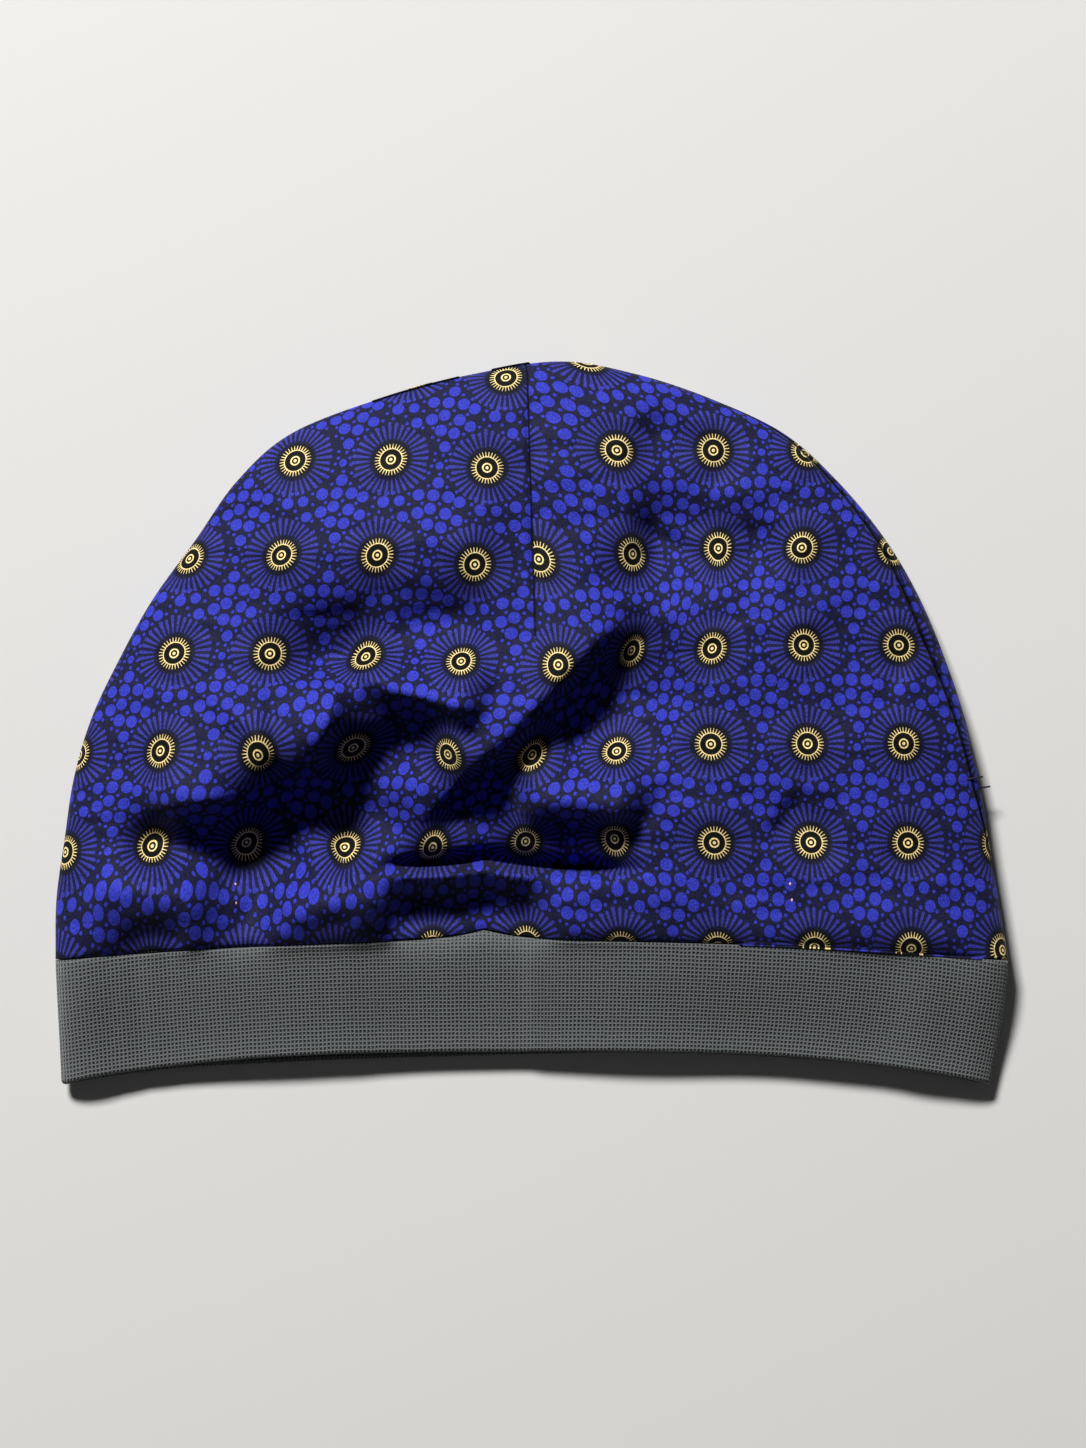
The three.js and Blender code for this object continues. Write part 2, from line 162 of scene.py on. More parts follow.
# Each fold of the cloth: its name, the three places that it runs through, its rise as a share
# of FOLD_SIZE, its reach towards the band and towards the crown's top, and its crest's
# roundness. All run from the right to the left, or down.
FOLDS = (
    ("centre ridge", (0.23, 0.62), (-0.03, 0.38), (-0.30, 0.165), 0.60, 0.38, 1.50, 1.4),
    ("centre valley", (0.30, 0.59), (0.04, 0.345), (-0.25, 0.155), -0.60, 1.45, 0.45, 2),
    ("top hollow", (0.56, 0.67), (0.36, 0.71), (0.19, 0.72), -0.50, 0.90, 0.60, 2),
    ("valley head", (0.29, 0.73), (0.24, 0.66), (0.20, 0.58), -0.25, 1.00, 0.60, 2),
    ("left shelf", (-0.08, 0.39), (-0.24, 0.43), (-0.41, 0.48), 0.76, 0.30, 1.30, 1.4),
    ("left step", (-0.41, 0.50), (-0.43, 0.37), (-0.55, 0.26), 0.82, 0.40, 1.10, 1.4),
    ("left hollow", (-0.11, 0.36), (-0.37, 0.265), (-0.69, 0.17), -1.10, 1.30, 0.95, 3),
    ("left ridge", (-0.51, 0.27), (-0.64, 0.26), (-0.84, 0.25), 0.60, 0.35, 1.50, 1.4),
    ("left slot", (-0.57, 0.11), (-0.71, 0.17), (-0.87, 0.21), -0.62, 0.60, 0.50, 2),
    ("low hollow", (-0.36, 0.24), (-0.45, 0.19), (-0.56, 0.14), -0.28, 1.00, 1.00, 2),
    ("stem", (-0.52, 0.20), (-0.57, 0.12), (-0.58, 0.01), -0.50, 0.60, 0.60, 2),
    ("left lobe", (-0.63, 0.08), (-0.80, 0.10), (-0.99, 0.10), 0.35, 0.90, 0.60, 2),
    ("middle lobe", (-0.39, 0.16), (-0.44, 0.12), (-0.44, 0.01), 0.40, 0.80, 0.80, 2),
    ("bright flank", (-0.13, 0.36), (-0.21, 0.30), (-0.31, 0.20), 0.38, 0.60, 0.60, 2),
    ("waist brow", (0.25, 0.22), (0.10, 0.25), (-0.06, 0.22), 0.78, 0.45, 1.20, 2),
    ("waist crease", (0.27, 0.131), (-0.05, 0.131), (-0.36, 0.134), -0.52, 0.60, 0.75, 2),
    ("waist slit", (0.26, 0.123), (-0.05, 0.126), (-0.36, 0.130), -0.75, 0.09, 0.18, 1.6),
    ("waist lip", (0.27, 0.116), (-0.05, 0.118), (-0.365, 0.123), 0.45, 0.60, 0.08, 1.6),
    ("lip swell", (0.06, 0.120), (-0.15, 0.119), (-0.37, 0.123), 0.60, 0.56, 0.08, 1.6),
    ("waist foot", (0.08, 0.04), (-0.14, 0.045), (-0.35, 0.06), -0.70, 0.70, 0.80, 2),
    ("lip corner", (-0.37, 0.15), (-0.35, 0.09), (-0.30, 0.03), 0.28, 0.20, 0.60, 1.5),
    ("left hem", (-0.50, -0.01), (-0.74, 0.0), (-0.98, 0.0), -0.20, 0.80, 0.80, 2),
    ("first pucker", (-0.72, 0.0), (-0.795, 0.03), (-0.87, 0.0), -0.20, 0.30, 0.30, 2),
    ("second pucker", (-0.54, 0.0), (-0.60, 0.03), (-0.66, 0.0), -0.18, 0.30, 0.30, 2),
    ("top shade", (0.46, 0.82), (0.34, 0.86), (0.20, 0.90), -0.28, 0.80, 0.60, 2),
    ("brow hollow", (0.30, 0.33), (0.17, 0.36), (0.04, 0.37), -0.34, 0.80, 0.80, 2),
    ("right dent", (0.66, 0.20), (0.58, 0.21), (0.50, 0.24), -0.20, 0.60, 0.50, 2),
    ("side dent", (0.80, 0.46), (0.70, 0.50), (0.58, 0.58), -0.16, 0.80, 0.80, 2),
    ("upper hollow", (-0.04, 0.56), (-0.28, 0.53), (-0.57, 0.47), -0.68, 0.85, 0.80, 2),
    ("upper swell", (-0.03, 0.67), (-0.28, 0.67), (-0.59, 0.61), 0.25, 1.00, 1.20, 2),
)

PANEL_COLUMNS = 220
PANEL_ROWS = 140
WAIST_UP = 0.125                      # where rows lie closest, for the fine crease at the waist
WAIST_SPREAD = 0.035
SIDE_SHARE = 0.30                     # of the outline's length that counts as each side
SHOULDER_RINGS = 18
DART_TOP = np.array((-1.4, 167.4)) * MILLIMETRE
DART_TIP = np.array((1.1, 85.0)) * MILLIMETRE
DART_CREASE = 0.9 * MILLIMETRE
DART_REACH = 0.8 * MILLIMETRE
DART_PULL_REACH = 9 * DART_REACH
DART_FADES = 2 * MILLIMETRE           # below its tip the dart is gone,
DART_FULL = 22 * MILLIMETRE           # and this far above it the crease has its full depth
DART_PULL = 1.0 * MILLIMETRE
SEAM_DIP = 3.0 * MILLIMETRE
SEAM_DIP_REACH = 2.0 * MILLIMETRE


def ease(start, end, value):
    """0 before the start, 1 past the end, and a smooth rise between them."""
    share = np.clip((value - start) / (end - start), 0, 1)
    return share * share * (3 - 2 * share)


def smooth_run(points, count):
    """Places evenly spread along a smooth line through a few points."""
    held = np.vstack([2 * points[0] - points[1], points, 2 * points[-1] - points[-2]])
    share = np.linspace(0, 1, 24, endpoint=False)[:, None]
    pieces = []
    for a, b, c, d in zip(held[:-3], held[1:-2], held[2:-1], held[3:]):
        curve = 2 * b + (c - a) * share + (2 * a - 5 * b + 4 * c - d) * share**2
        pieces.append((curve + (3 * b - a - 3 * c + d) * share**3) / 2)
    line = np.vstack(pieces + [points[-1:]])
    length = np.concatenate([[0], np.cumsum(np.linalg.norm(np.diff(line, axis=0), axis=1))])
    even = np.linspace(0, length[-1], count)
    return np.column_stack([np.interp(even, length, line[:, axis]) for axis in (0, 1)])


left_side = [(-left * HALF_WIDTH, up * CROWN_RISE) for up, left, _ in OUTLINE]
right_side = [(right * HALF_WIDTH, up * CROWN_RISE) for up, _, right in OUTLINE]
crown_top = (OUTLINE_TOP[0] * HALF_WIDTH, OUTLINE_TOP[1] * CROWN_RISE)
outline = smooth_run(np.array(left_side + [crown_top] + right_side[::-1]), 1601)
outline_share = np.linspace(0, 1, len(outline))
outline_in = np.gradient(outline, axis=0)
outline_in = np.column_stack([outline_in[:, 1], -outline_in[:, 0]])
outline_in /= np.linalg.norm(outline_in, axis=1)[:, None]


def nearest_on(line, x, y):
    """Distance to a line of points, the share along it, and the side, from -1 to 1."""
    best = np.full(x.shape, np.inf)
    share = np.zeros(x.shape)
    side = np.zeros(x.shape)
    for number, (start, end) in enumerate(zip(line[:-1], line[1:])):
        step = end - start
        along = ((x - start[0]) * step[0] + (y - start[1]) * step[1]) / (step @ step)
        along = np.clip(along, 0, 1)
        off_x = x - start[0] - along * step[0]
        off_y = y - start[1] - along * step[1]
        distance = np.hypot(off_x, off_y)
        closer = distance < best
        best = np.where(closer, distance, best)
        share = np.where(closer, (number + along) / (len(line) - 1), share)
        turned = (step[0] * off_y - step[1] * off_x) / np.hypot(*step)
        side = np.where(closer, turned / np.maximum(distance, 1e-9), side)
    return best, share, side


def fold_run(start, over, end):
    """A fold's line in the plan: an arc from its start, over its middle, to its end."""
    start, over, end = (np.array(place) * (HALF_WIDTH, CROWN_RISE) for place in (start, over, end))
    middle = 2 * over - (start + end) / 2
    share = np.linspace(0, 1, 25)[:, None]
    return (1 - share) ** 2 * start + 2 * share * (1 - share) * middle + share**2 * end


def fold_relief(x, y):
    """How high all the folds together lift the cloth at a place, or sink it."""
    total = np.zeros(x.shape)
    for _, start, over, end, rise, low, high, crest in FOLDS:
        distance, share, side = nearest_on(fold_run(start, over, end), x, y)
        reach = (high + (low - high) * (0.5 + 0.5 * side)) * FOLD_SIZE
        strength = ease(0, 0.25, np.minimum(share, 1 - share))
        total += rise * FOLD_SIZE * strength * np.exp(-((distance / reach) ** crest))
    return total


def shoulder(x, y):
    """How high the front's rounded shoulder rises, and how far in it reaches."""
    share = ease(0, 0.3, y / CROWN_RISE)
    crown_puff = CROWN_PUFF + (RIGHT_PUFF - CROWN_PUFF) * ease(0.1, 0.6, x / HALF_WIDTH)
    rise = SEAM_PUFF + (crown_puff - SEAM_PUFF) * share
    roundness = SEAM_SHOULDER + (CROWN_SHOULDER - SEAM_SHOULDER) * share
    return rise, rise**2 / roundness


def dart_x(y):
    """How far across the dart's line lies, at a place up the panel."""
    share = (y - DART_TIP[1]) / (DART_TOP[1] - DART_TIP[1])
    return DART_TIP[0] + (DART_TOP[0] - DART_TIP[0]) * share


def dart_relief(x, y):
    """The dart draws the cloth down into a fine crease, which ends at its tip."""
    off = x - dart_x(y)
    strength = ease(DART_TIP[1] - DART_FADES, DART_TIP[1] + DART_FULL, y)
    crease = DART_CREASE * np.exp(-((off / DART_REACH) ** 2))
    pull = DART_PULL * np.exp(-((off / DART_PULL_REACH) ** 2))
    return -(crease + pull) * strength


def front_height(x, y, distance):
    """The front's height at a place, and at its distance from the edge."""
    rise, reach = shoulder(x, y)
    inward = 1 - np.minimum(distance / reach, 1)
    puffed = EDGE_HEIGHT + rise * np.sqrt(1 - inward**2)
    seam_dip = SEAM_DIP * np.exp(-y / SEAM_DIP_REACH)
    relief = fold_relief(x, y) + dart_relief(x, y)
    inside = ease(0, FOLD_EDGE, distance)
    height = puffed + (relief - seam_dip) * inside
    above = height - LOWEST_CLOTH
    rested = (np.hypot(above, LOWEST_CLOTH) - above) / 2
    return height + rested * inside


SIDES_DRAWN_TO = -0.2                 # the sides go on down past the band seam, which is no edge


def edge_distance(x, y):
    """How far a place lies from the side seam."""
    held = np.vstack([[-HALF_WIDTH, SIDES_DRAWN_TO], outline[::8], [HALF_WIDTH, SIDES_DRAWN_TO]])
    return nearest_on(held, x, y)[0]


def on_outline(share):
    """Places on the outline, and the way inwards there, at shares along it."""
    place = np.column_stack([np.interp(share, outline_share, outline[:, axis]) for axis in (0, 1)])
    inward = np.column_stack([np.interp(share, outline_share, outline_in[:, axis]) for axis in (0, 1)])
    return place, inward


def turned_edge(share, angle):
    """Points of the turned edge, at angles up over the front or down under the back."""
    place, inward = on_outline(share)
    rise, reach = shoulder(place[:, 0], place[:, 1])
    over = angle > 0
    inset = np.where(over, reach, UNDER_ROLL) * (1 - np.cos(angle))
    spot = place + inward * inset[:, None]
    ends = (share <= 0) | (share >= 1)
    spot[ends, 1] = 0
    under = EDGE_HEIGHT * (1 + np.sin(angle))
    height = np.where(over, front_height(spot[:, 0], spot[:, 1], inset), under)
    return np.column_stack([spot, height])


ARCH_POWER = 2.2                      # 2 is a parabola, and more is flatter in the middle
PEAK_X = -0.1 * HALF_WIDTH
PEAK_ROUNDING = 0.1 * PEAK_REACH


def seam_lift(x):
    """How far the band seam arches up from a straight line, with its small peak."""
    arch = SEAM_ARCH * (1 - np.abs(x / HALF_WIDTH) ** ARCH_POWER)
    return arch + SEAM_PEAK * np.exp(-np.hypot(x - PEAK_X, PEAK_ROUNDING) / PEAK_REACH)


def arched(points):
    """The lower edge follows the arched band seam, and the whole moves to its place."""
    raised = points.copy()
    fade = (1 - np.clip(points[:, 1] / CROWN_RISE, 0, 1)) ** 2
    raised[:, 1] += seam_lift(points[:, 0]) * fade + SEAM_Y
    return raised


WAIST_CLOSER = 2.5                    # how many times closer still the rows lie at the waist


def row_places(rows):
    """Where the rows of a panel lie, from 0 at the band to 1 at the top, closer at the waist."""
    place = np.linspace(0, 1, 2001)
    closeness = 1 + WAIST_CLOSER * np.exp(-(((place - WAIST_UP) / WAIST_SPREAD) ** 2))
    filled = np.cumsum(closeness) - closeness[0]
    return np.interp(np.linspace(0, filled[-1], rows + 1), filled, place)


def edge_stations(columns, rows):
    """Shares along the outline at which a panel's edge is divided."""
    left = SIDE_SHARE * row_places(rows)
    top = np.linspace(SIDE_SHARE, 1 - SIDE_SHARE, columns + 1)
    return np.concatenate([left[:-1], top, 1 - left[-2::-1]])


def panel_grid(side, rings, columns, rows):
    """Points and faces of a panel: rings from the side seam inwards, and a grid inside."""
    stations = edge_stations(columns, rows)
    roll = np.radians(np.interp(stations, *zip(*SEAM_ROLL)))
    last = math.radians(50 if side > 0 else -90)
    _, reach = shoulder(*on_outline(stations)[0].T)
    steep = np.hypot(np.where(roll > 0, reach, UNDER_ROLL) * np.sin(roll), EDGE_HEIGHT)
    start = roll + side * SEAM_GAP / 2 / steep
    points = [turned_edge(stations, start + (last - start) * k / rings) for k in range(rings + 1)]
    inner = points[-1][:, :2]
    across = np.linspace(0, 1, columns + 1)[None, :, None]
    up = row_places(rows)[:, None, None]
    left = inner[: rows + 1][:, None, :]
    right = inner[::-1][: rows + 1][:, None, :]
    top = inner[rows : rows + columns + 1][None, :, :]
    bottom = left[0] + (right[0] - left[0]) * across[0]
    blend = left + (right - left) * across + bottom[None] * (1 - up) + top * up
    straight_top = left[-1] + (right[-1] - left[-1]) * across
    corners = bottom[None] * (1 - up) + straight_top * up
    plan = (blend - corners).reshape(-1, 2)
    if side > 0:
        height = front_height(plan[:, 0], plan[:, 1], edge_distance(plan[:, 0], plan[:, 1]))
    else:
        height = np.zeros(len(plan))
    around = len(stations)
    number = (rings * around + np.zeros((rows + 1, columns + 1))).astype(int)
    number[:, 0] += np.arange(rows + 1)
    number[:, -1] += around - 1 - np.arange(rows + 1)
    number[-1, :] = rings * around + rows + np.arange(columns + 1)
    inside = np.zeros(number.shape, bool)
    inside[:-1, 1:-1] = True
    number[inside] = (rings + 1) * around + np.arange(inside.sum())
    grid = np.column_stack([plan, height])[inside.ravel()]
    ring = np.arange((rings + 1) * around).reshape(rings + 1, around)
    faces = [
        np.stack([ring[:-1, :-1], ring[1:, :-1], ring[1:, 1:], ring[:-1, 1:]], -1).reshape(-1, 4),
        np.stack([number[:-1, :-1], number[:-1, 1:], number[1:, 1:], number[1:, :-1]], -1).reshape(-1, 4),
    ]
    faces = np.vstack(faces)
    loop = np.concatenate([ring[:-1, 0], number[0], ring[:-1, -1][::-1]])
    return np.vstack(points + [grid]), faces if side > 0 else faces[:, ::-1], loop, number


front_points, front_faces, front_loop, front_number = panel_grid(1, SHOULDER_RINGS, PANEL_COLUMNS, PANEL_ROWS)

# The column of the grid that meets the dart's top is bent onto the dart, with its neighbours
around_count = 2 * PANEL_ROWS + PANEL_COLUMNS + 1
top_stations = PANEL_ROWS + np.arange(PANEL_COLUMNS + 1)
dart_column = int(np.argmin(np.abs(front_points[top_stations, 0] - DART_TOP[0])))
dart_ids = np.concatenate([
    np.arange(SHOULDER_RINGS) * around_count + PANEL_ROWS + dart_column,
    front_number[::-1, dart_column],
])
dart_line = front_points[dart_ids][::-1]
line_x = np.interp(front_points[:, 1], dart_line[:, 1], dart_line[:, 0])
bend = dart_x(front_points[:, 1]) - line_x
bend *= ease(30 * MILLIMETRE, 60 * MILLIMETRE, front_points[:, 1])
bend *= np.exp(-(((front_points[:, 0] - line_x) / (25 * MILLIMETRE)) ** 2))
from_edge = edge_distance(front_points[:, 0], front_points[:, 1])
bend *= ease(0, 6 * MILLIMETRE, from_edge)
bent = np.abs(bend) > 1e-6
front_points[bent, 0] += bend[bent]
bent_x, bent_y = front_points[bent, 0], front_points[bent, 1]
front_points[bent, 2] = front_height(bent_x, bent_y, edge_distance(bent_x, bent_y))


def sewn_sheet(name, points, faces, thickness, cloth_places, material, seam_ids):
    """A cloth piece: its skin as a mesh with the cloth's own places as UVs, then a wall."""
    mesh = bpy.data.meshes.new(name)
    mesh.from_pydata(points.tolist(), [], faces.tolist())
    # The seam's points are marked for the painted shade along the seam.
    at_seam = mesh.attributes.new("at_seam", "FLOAT", "POINT")
    at_seam.data.foreach_set("value", np.isin(np.arange(len(points)), seam_ids).astype(np.float32))
    piece = bpy.data.objects.new(name, mesh)
    bpy.context.collection.objects.link(piece)
    layer = mesh.uv_layers.new(name="cloth")
    layer.uv.foreach_set("vector", cloth_places.astype(np.float32).ravel())
    mesh.polygons.foreach_set("use_smooth", np.ones(len(faces), bool))
    mesh.materials.append(material)
    wall = piece.modifiers.new("wall", "SOLIDIFY")
    wall.thickness = thickness
    wall.offset = -1
    bpy.context.view_layer.objects.active = piece
    bpy.ops.object.modifier_apply(modifier=wall.name)
    return piece


# The print's repeat, and how the cloth lies in the plan: left of the dart and of the middle
# valley it leans over to the right, and right of them it stands straight.
REPEAT = 27.1 * MILLIMETRE
LEFT_START = np.array((-106.4, 31.6)) * MILLIMETRE
RIGHT_START = np.array((104.4, 33.0)) * MILLIMETRE
LEFT_LEAN = 0.12
RIGHT_LEAN = 0.04
UPPER_LEAN = 4.2 * MILLIMETRE
TOP_LEAN = 8 * MILLIMETRE
DART_DIP = 4.2 * MILLIMETRE
DART_TAKE_UP = 56 * MILLIMETRE        # from the tip up to where the dart takes up its full share
LAYING_ROUNDS = 320
LAYING_STEP = 0.8
MOST_SLOPE = 1.6                      # more cloth than this per length goes out of sight
HELD_HEADING = 0.8                    # how firmly the cloth keeps from turning
LOW_LEFT_STRETCH = 0.24               # the band draws the cloth down, most at the left
LOW_STRETCH = 0.07
LOW_LEFT_ENDS = (-50 * MILLIMETRE, -20 * MILLIMETRE)
DART_DIPS = (-43 * MILLIMETRE, 4 * MILLIMETRE)
UPPER_LEAN_UP = (112 * MILLIMETRE, 142 * MILLIMETRE)
UPPER_LEAN_ACROSS = (-5 * MILLIMETRE, 20 * MILLIMETRE)
TOP_LEAN_UP = (146 * MILLIMETRE, 172 * MILLIMETRE)
RIGHT_STARTS_AT = 8                   # the right half's print starts this many repeats on,
RIGHT_ACROSS = REPEAT * 0.99          # and its repeat is a little narrower and taller
RIGHT_UP = REPEAT * 1.012
VALLEY_BLEND = 9 * MILLIMETRE         # the left print changes to the right one over the valley


def drawn_down(x):
    """How much the band stretches the cloth downwards near its seam, most at the left."""
    return LOW_LEFT_STRETCH + (LOW_STRETCH - LOW_LEFT_STRETCH) * ease(*LOW_LEFT_ENDS, x)


def cloth_on_left(x, y):
    """The cloth's own places, in repeats, for points left of the dart."""
    lean = LEFT_LEAN * np.maximum(y - LEFT_START[1], 0)
    across = (x - LEFT_START[0] - lean) / REPEAT
    dip = DART_DIP * ease(*DART_DIPS, x)
    up = y - LEFT_START[1] - drawn_down(x) * np.minimum(y - LEFT_START[1], 0)
    return np.stack([across, (up + dip) / REPEAT], -1)


def cloth_on_right(x, y):
    """The cloth's own places, in repeats, for points right of the dart."""
    lean = RIGHT_LEAN * (y - RIGHT_START[1]) - UPPER_LEAN * (
        ease(*UPPER_LEAN_UP, y) * ease(*UPPER_LEAN_ACROSS, x))
    lean += TOP_LEAN * ease(*TOP_LEAN_UP, y)
    across = RIGHT_STARTS_AT - (RIGHT_START[0] - x - lean) / RIGHT_ACROSS
    up = y - RIGHT_START[1] - drawn_down(x) * np.minimum(y - RIGHT_START[1], 0)
    return np.stack([across, up / RIGHT_UP], -1)


def cloth_at(ids, right_of_dart):
    """The cloth's own places at front points, seen from one side of the dart or the other."""
    x, y = unrolled[ids, 0], unrolled[ids, 1]
    past = past_valley[ids]
    taken_up = np.clip((y - DART_TIP[1] + 4 * MILLIMETRE) / DART_TAKE_UP, 0, 1)
    past = np.where(right_of_dart, np.maximum(past, taken_up), past)
    left = cloth_on_left(x, y)
    return left + (cloth_on_right(x, y) - left) * past[..., None]


valley_off, _, valley_side = nearest_on(fold_run(*FOLDS[1][1:4]), front_points[:, 0], front_points[:, 1])
past_valley = ease(-VALLEY_BLEND, VALLEY_BLEND, valley_off * valley_side)


def unrolled_plan(lying, rings, columns, rows):
    """The plan of a panel with its turned edge unrolled outwards, by its own length."""
    stations = edge_stations(columns, rows)
    edge = lying[: (rings + 1) * len(stations)].reshape(-1, len(stations), 3)
    _, inward = on_outline(stations)
    steps = np.linalg.norm(np.diff(edge, axis=0), axis=2)
    length = np.vstack([np.cumsum(steps[::-1], axis=0)[::-1], np.zeros((1, len(stations)))])
    plan = lying[:, :2].copy()
    plan[: edge.size // 3] = (edge[-1][None, :, :2] - inward[None] * length[..., None]).reshape(-1, 2)
    return plan


lying = arched(front_points) - (0, SEAM_Y, 0)
unrolled = unrolled_plan(lying, SHOULDER_RINGS, PANEL_COLUMNS, PANEL_ROWS)

# The cloth keeps its own lengths: neighbouring places move until they are as far apart on
# the cloth as the points are on the folded skin
pairs = np.vstack([front_faces[:, ends] for ends in ([0, 1], [1, 2], [0, 2], [1, 3])])
pair_middle = (front_points[pairs[:, 0]] + front_points[pairs[:, 1]]) / 2
pair_side = pair_middle[:, 0] > dart_x(pair_middle[:, 1])
pair_length = np.linalg.norm(lying[pairs[:, 0]] - lying[pairs[:, 1]], axis=1) / REPEAT
plan_length = np.linalg.norm(unrolled[pairs[:, 0]] - unrolled[pairs[:, 1]], axis=1) / REPEAT
pair_length = np.minimum(pair_length, plan_length * MOST_SLOPE)
stretched = 1 - ease(12 * MILLIMETRE, 30 * MILLIMETRE, pair_middle[:, 1])
pair_length *= 1 - drawn_down(pair_middle[:, 0]) * stretched
laid_step = cloth_at(pairs[:, 1], pair_side) - cloth_at(pairs[:, 0], pair_side)
laid_heading = HELD_HEADING * laid_step / np.linalg.norm(laid_step, axis=1)[:, None]
point_count = len(front_points)
pair_count = np.bincount(pairs.ravel(), minlength=point_count)[:, None]
slid = np.zeros((point_count, 2))
for _ in range(LAYING_ROUNDS):
    step = laid_step + slid[pairs[:, 1]] - slid[pairs[:, 0]]
    length = np.maximum(np.linalg.norm(step, axis=1), 1e-6)
    heading = step / length[:, None] + laid_heading
    push = heading * (pair_length / np.linalg.norm(heading, axis=1))[:, None] - step
    pushed = np.stack([
        np.bincount(pairs[:, 1], push[:, axis], point_count)
        - np.bincount(pairs[:, 0], push[:, axis], point_count)
        for axis in (0, 1)
    ], -1)
    slid += LAYING_STEP * pushed / pair_count
face_x = front_points[front_faces, 0].mean(axis=1)
face_y = front_points[front_faces, 1].mean(axis=1)
face_side = np.repeat(face_x > dart_x(face_y), 4).reshape(-1, 4)
front_cloth = cloth_at(front_faces, face_side) + slid[front_faces]

crown_material, crown_tree, crown_shader = new_material("printed sateen")
crown_shader.inputs["Roughness"].default_value = 0.6


def print_group():
    """The print: a sunburst disc at each corner of the repeat, and dots between them."""
    tree = bpy.data.node_groups.new("sunburst print", "ShaderNodeTree")
    tree.interface.new_socket("Cloth", in_out="INPUT", socket_type="NodeSocketVector")
    tree.interface.new_socket("Color", in_out="OUTPUT", socket_type="NodeSocketColor")
    entry = tree.nodes.new("NodeGroupInput")
    result = tree.nodes.new("NodeGroupOutput")

    def maths(operation, first, second=0.0, third=0.0, clamp=False):
        inputs = {0: first, 1: second, 2: third}
        return add_node(tree, "Math", inputs, operation=operation, use_clamp=clamp).outputs[0]

    def below(value, limit, blur=0.09):
        """1 where a length in millimetres is below its limit, with a soft edge."""
        return maths("MULTIPLY_ADD", maths("SUBTRACT", limit, value), 1 / blur, 0.5, clamp=True)

    def paint(under, over, mask):
        mixed = add_node(tree, "Mix", data_type="RGBA")
        for place, value in ((0, mask), (6, under), (7, over)):
            if isinstance(value, bpy.types.NodeSocket):
                tree.links.new(value, mixed.inputs[place])
            else:
                mixed.inputs[place].default_value = value
        return mixed.outputs[2]

    def vector(operation, first, second=(0, 0, 0)):
        return add_node(tree, "VectorMath", {0: first, 1: second}, operation=operation).outputs

    repeat = REPEAT / MILLIMETRE
    cloth = entry.outputs["Cloth"]
    nearest_disc = vector("FLOOR", vector("ADD", cloth, (0.5, 0.5, 0))[0])[0]
    disc = vector("MULTIPLY", vector("SUBTRACT", cloth, nearest_disc)[0], (repeat, repeat, 0))[0]
    radius = vector("LENGTH", disc)["Value"]
    parts = add_node(tree, "SeparateXYZ", {0: disc})
    angle = maths("ARCTAN2", parts.outputs[1], parts.outputs[0])

    def spokes(count):
        """How far off the nearest spoke a place is, sideways in millimetres, and its number."""
        turn = maths("MULTIPLY_ADD", angle, count / math.tau, count)
        off = maths("ABSOLUTE", maths("SUBTRACT", maths("FRACT", turn), 0.5))
        return maths("MULTIPLY", maths("MULTIPLY", off, radius), math.tau / count), maths("FLOOR", turn)

    ground = (0.011, 0.012, 0.038, 1)
    dot_blue = (0.030, 0.037, 0.38, 1)
    ray_blue = (0.034, 0.036, 0.27, 1)
    gold = (0.90, 0.70, 0.31, 1)
    black = (0.006, 0.006, 0.0055, 1)

    # Places in the repeat, in millimetres from the middle between four discs
    between = vector("SUBTRACT", cloth, vector("FLOOR", cloth)[0])[0]
    between = vector("MULTIPLY", vector("SUBTRACT", between, (0.5, 0.5, 0))[0], (repeat, repeat, 0))[0]

    # The dots between the discs: the big ones with their radius, the small ones all alike
    big_dots = (
        (-4.4, 3.8, 1.65), (-0.3, 4.0, 1.7), (3.9, 3.9, 1.7), (7.2, 2.8, 1.65), (-0.7, 0.1, 1.65),
        (3.7, -0.9, 1.7), (7.0, -2.5, 1.6), (-4.0, -1.4, 1.7), (-8.0, -2.7, 1.55), (-0.9, -4.4, 1.7),
        (2.9, -4.9, 1.65), (1.0, -9.0, 1.6), (0.6, 7.7, 1.65), (0.3, 12.6, 1.1), (0.3, -14.5, 1.1),
        (13.2, 1.3, 1.65), (-13.9, 1.3, 1.65), (-9.5, 1.8, 1.5),
    )
    small_dots = (
        (-2.4, 10.3), (0.7, 10.2), (3.1, 9.7), (-1.9, 12.3), (2.5, 12.1), (-1.4, -11.2), (0.9, -11.5),
        (2.8, -10.9), (-1.3, -13.1), (2.0, -13.0), (-11.4, -0.9), (-11.3, 4.1), (10.6, 2.5), (10.4, -0.1),
        (12.3, -1.6), (-12.9, 3.9), (11.4, 4.4), (-7.1, 3.9), (-6.7, 0.9), (-3.1, 1.4), (1.7, 1.7),
        (1.4, -2.3), (5.6, 0.9), (9.6, -2.3), (5.6, -4.9), (-3.2, -3.9), (-2.9, -6.6), (-6.1, -4.0),
        (-10.7, -3.0), (-1.1, -7.3), (3.4, -7.6), (-2.0, 6.6), (3.2, 6.7), (-3.6, 8.6), (6.0, 5.6),
        (-6.4, 6.0), (5.4, -7.0), (8.6, -5.0),
    )

    small_dot = 0.47

    def nearest_of(places):
        """The least of several lengths to places in the repeat, in millimetres."""
        least = None
        for across, up, *size in places:
            off = vector("DISTANCE", between, (across, up, 0))["Value"]
            off = maths("SUBTRACT", off, *size) if size else off
            least = off if least is None else maths("MINIMUM", least, off)
        return least

    colour = paint(ground, dot_blue, below(nearest_of(small_dots), small_dot))
    colour = paint(colour, dot_blue, below(nearest_of(big_dots), 0.0))

